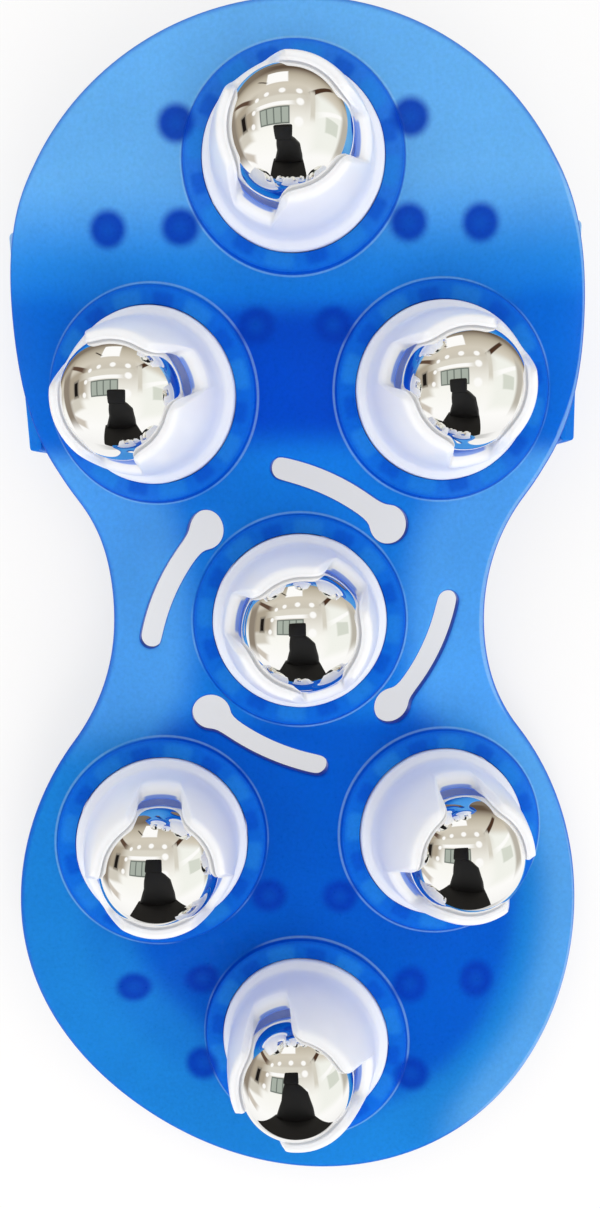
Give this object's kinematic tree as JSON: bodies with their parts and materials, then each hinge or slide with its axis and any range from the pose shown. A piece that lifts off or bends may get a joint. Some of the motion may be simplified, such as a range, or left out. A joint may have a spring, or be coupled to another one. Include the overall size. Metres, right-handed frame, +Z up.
{
  "type": "roller ball massage glove",
  "caption": "Soft figure-eight plate with steel roller balls in white clawed cages, and a strap behind it for the hand.",
  "frame": {"origin": "middle of the bounding box's bottom, on the surface that the glove lies on, balls up", "axes": "+Z up, away from the table; +Y along the glove, to the lobe that has the strap; +X to the right, across the glove"},
  "size_m": [0.0886, 0.1788, 0.0451],
  "materials": {
    "blue_plate": "satin",
    "blue_strap": "satin",
    "white_cage": "satin",
    "white_cap": "satin",
    "steel_ball": "polished"
  },
  "bodies": {
    "glove": {"glove_plate": "blue_plate", "hand_strap": "blue_strap", "ball_cage_top": "white_cage", "ball_cage_upper_left": "white_cage", "ball_cage_upper_right": "white_cage", "ball_cage_centre": "white_cage", "ball_cage_lower_left": "white_cage", "ball_cage_lower_right": "white_cage", "ball_cage_bottom": "white_cage", "back_cap_top": "white_cap", "back_cap_upper_left": "white_cap", "back_cap_upper_right": "white_cap", "back_cap_centre": "white_cap", "back_cap_lower_left": "white_cap", "back_cap_lower_right": "white_cap", "back_cap_bottom": "white_cap"},
    "ball_top": {"roller_ball_top": "steel_ball"},
    "ball_upper_left": {"roller_ball_upper_left": "steel_ball"},
    "ball_upper_right": {"roller_ball_upper_right": "steel_ball"},
    "ball_centre": {"roller_ball_centre": "steel_ball"},
    "ball_lower_left": {"roller_ball_lower_left": "steel_ball"},
    "ball_lower_right": {"roller_ball_lower_right": "steel_ball"},
    "ball_bottom": {"roller_ball_bottom": "steel_ball"}
  },
  "joints": [
    {"name": "ball_top_roll", "type": "hinge", "parent": "glove", "child": "ball_top", "pos_m": [-0.00039, 0.06505, 0.03646], "axis": [1, 0, 0], "continuous": true},
    {"name": "ball_upper_left_roll", "type": "hinge", "parent": "glove", "child": "ball_upper_left", "pos_m": [-0.02424, 0.03163, 0.02923], "axis": [1, 0, 0], "continuous": true},
    {"name": "ball_upper_right_roll", "type": "hinge", "parent": "glove", "child": "ball_upper_right", "pos_m": [0.02327, 0.03217, 0.03088], "axis": [1, 0, 0], "continuous": true},
    {"name": "ball_centre_roll", "type": "hinge", "parent": "glove", "child": "ball_centre", "pos_m": [0.00057, -0.00137, 0.02807], "axis": [1, 0, 0], "continuous": true},
    {"name": "ball_lower_left_roll", "type": "hinge", "parent": "glove", "child": "ball_lower_left", "pos_m": [-0.02066, -0.03515, 0.02461], "axis": [1, 0, 0], "continuous": true},
    {"name": "ball_lower_right_roll", "type": "hinge", "parent": "glove", "child": "ball_lower_right", "pos_m": [0.02407, -0.03476, 0.02149], "axis": [1, 0, 0], "continuous": true},
    {"name": "ball_bottom_roll", "type": "hinge", "parent": "glove", "child": "ball_bottom", "pos_m": [-0.0014, -0.06825, 0.01953], "axis": [1, 0, 0], "continuous": true}
  ]
}
